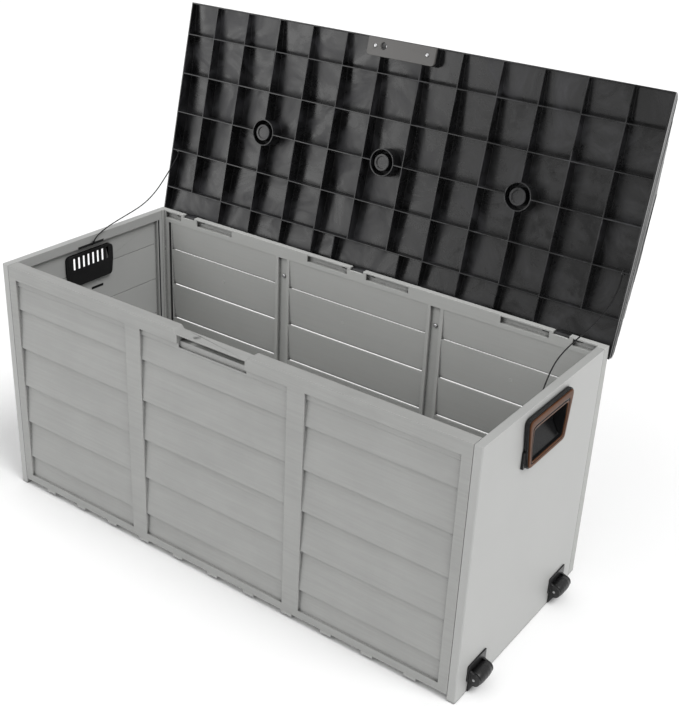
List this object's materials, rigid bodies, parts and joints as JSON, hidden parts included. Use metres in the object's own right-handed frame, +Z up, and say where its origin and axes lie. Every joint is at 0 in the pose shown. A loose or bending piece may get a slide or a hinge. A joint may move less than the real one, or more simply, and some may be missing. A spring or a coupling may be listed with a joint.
{
  "type": "deck storage box",
  "caption": "Long rectangular outdoor storage box with clapboard sides, a domed ribbed lid on rear hinges, end handles and rollers at one end.",
  "frame": {"origin": "centre of the box's footprint, on the ground it stands on", "axes": "+X along the length towards the end with the rollers, +Y towards the hinge side, +Z up"},
  "size_m": [1.1361, 0.5849, 0.9533],
  "materials": {
    "panel": "grained",
    "end_panel": "satin",
    "lid": "satin",
    "plate": "satin",
    "black_plastic": "satin",
    "bronze": "satin",
    "roller": "satin",
    "steel": "plain",
    "cord": "woven"
  },
  "bodies": {
    "box": {"front_panel": "panel", "back_panel": "panel", "left_end_panel": "end_panel", "right_end_panel": "end_panel", "floor_panel": "panel", "hinge_pin_left": "steel", "hinge_pin_centre": "steel", "hinge_pin_right": "steel", "handle_left": "black_plastic", "handle_right": "black_plastic", "handle_trim_left": "bronze", "handle_trim_right": "bronze", "wheel_bracket_front": "black_plastic", "wheel_bracket_rear": "black_plastic", "wheel_axle_front": "steel", "wheel_axle_rear": "steel", "stile_screw_left": "steel", "stile_screw_right": "steel", "cord_toggle_left": "black_plastic", "cord_toggle_right": "black_plastic", "lid_cord_left": "cord", "lid_cord_right": "cord", "handle_clip_left": "black_plastic", "handle_clip_right": "black_plastic"},
    "lid": {"lid": "lid", "lock_plate": "plate", "lock_plate_screw_left": "steel", "lock_plate_screw_right": "steel", "cord_plug_left": "black_plastic", "cord_plug_right": "black_plastic"},
    "front_wheel": {"wheel_front": "roller"},
    "rear_wheel": {"wheel_rear": "roller"}
  },
  "joints": [
    {"name": "lid_hinge", "type": "hinge", "parent": "box", "child": "lid", "pos_m": [0, 0.2285, 0.5052], "axis": [1, 0, 0], "range_deg": [0, 103.3], "deforming": ["lid_cord_left", "lid_cord_right"]},
    {"name": "front_wheel_spin", "type": "hinge", "parent": "box", "child": "front_wheel", "pos_m": [0.5605, -0.1645, 0.03], "axis": [0, 1, 0], "continuous": true},
    {"name": "rear_wheel_spin", "type": "hinge", "parent": "box", "child": "rear_wheel", "pos_m": [0.5605, 0.1435, 0.03], "axis": [0, 1, 0], "continuous": true}
  ]
}
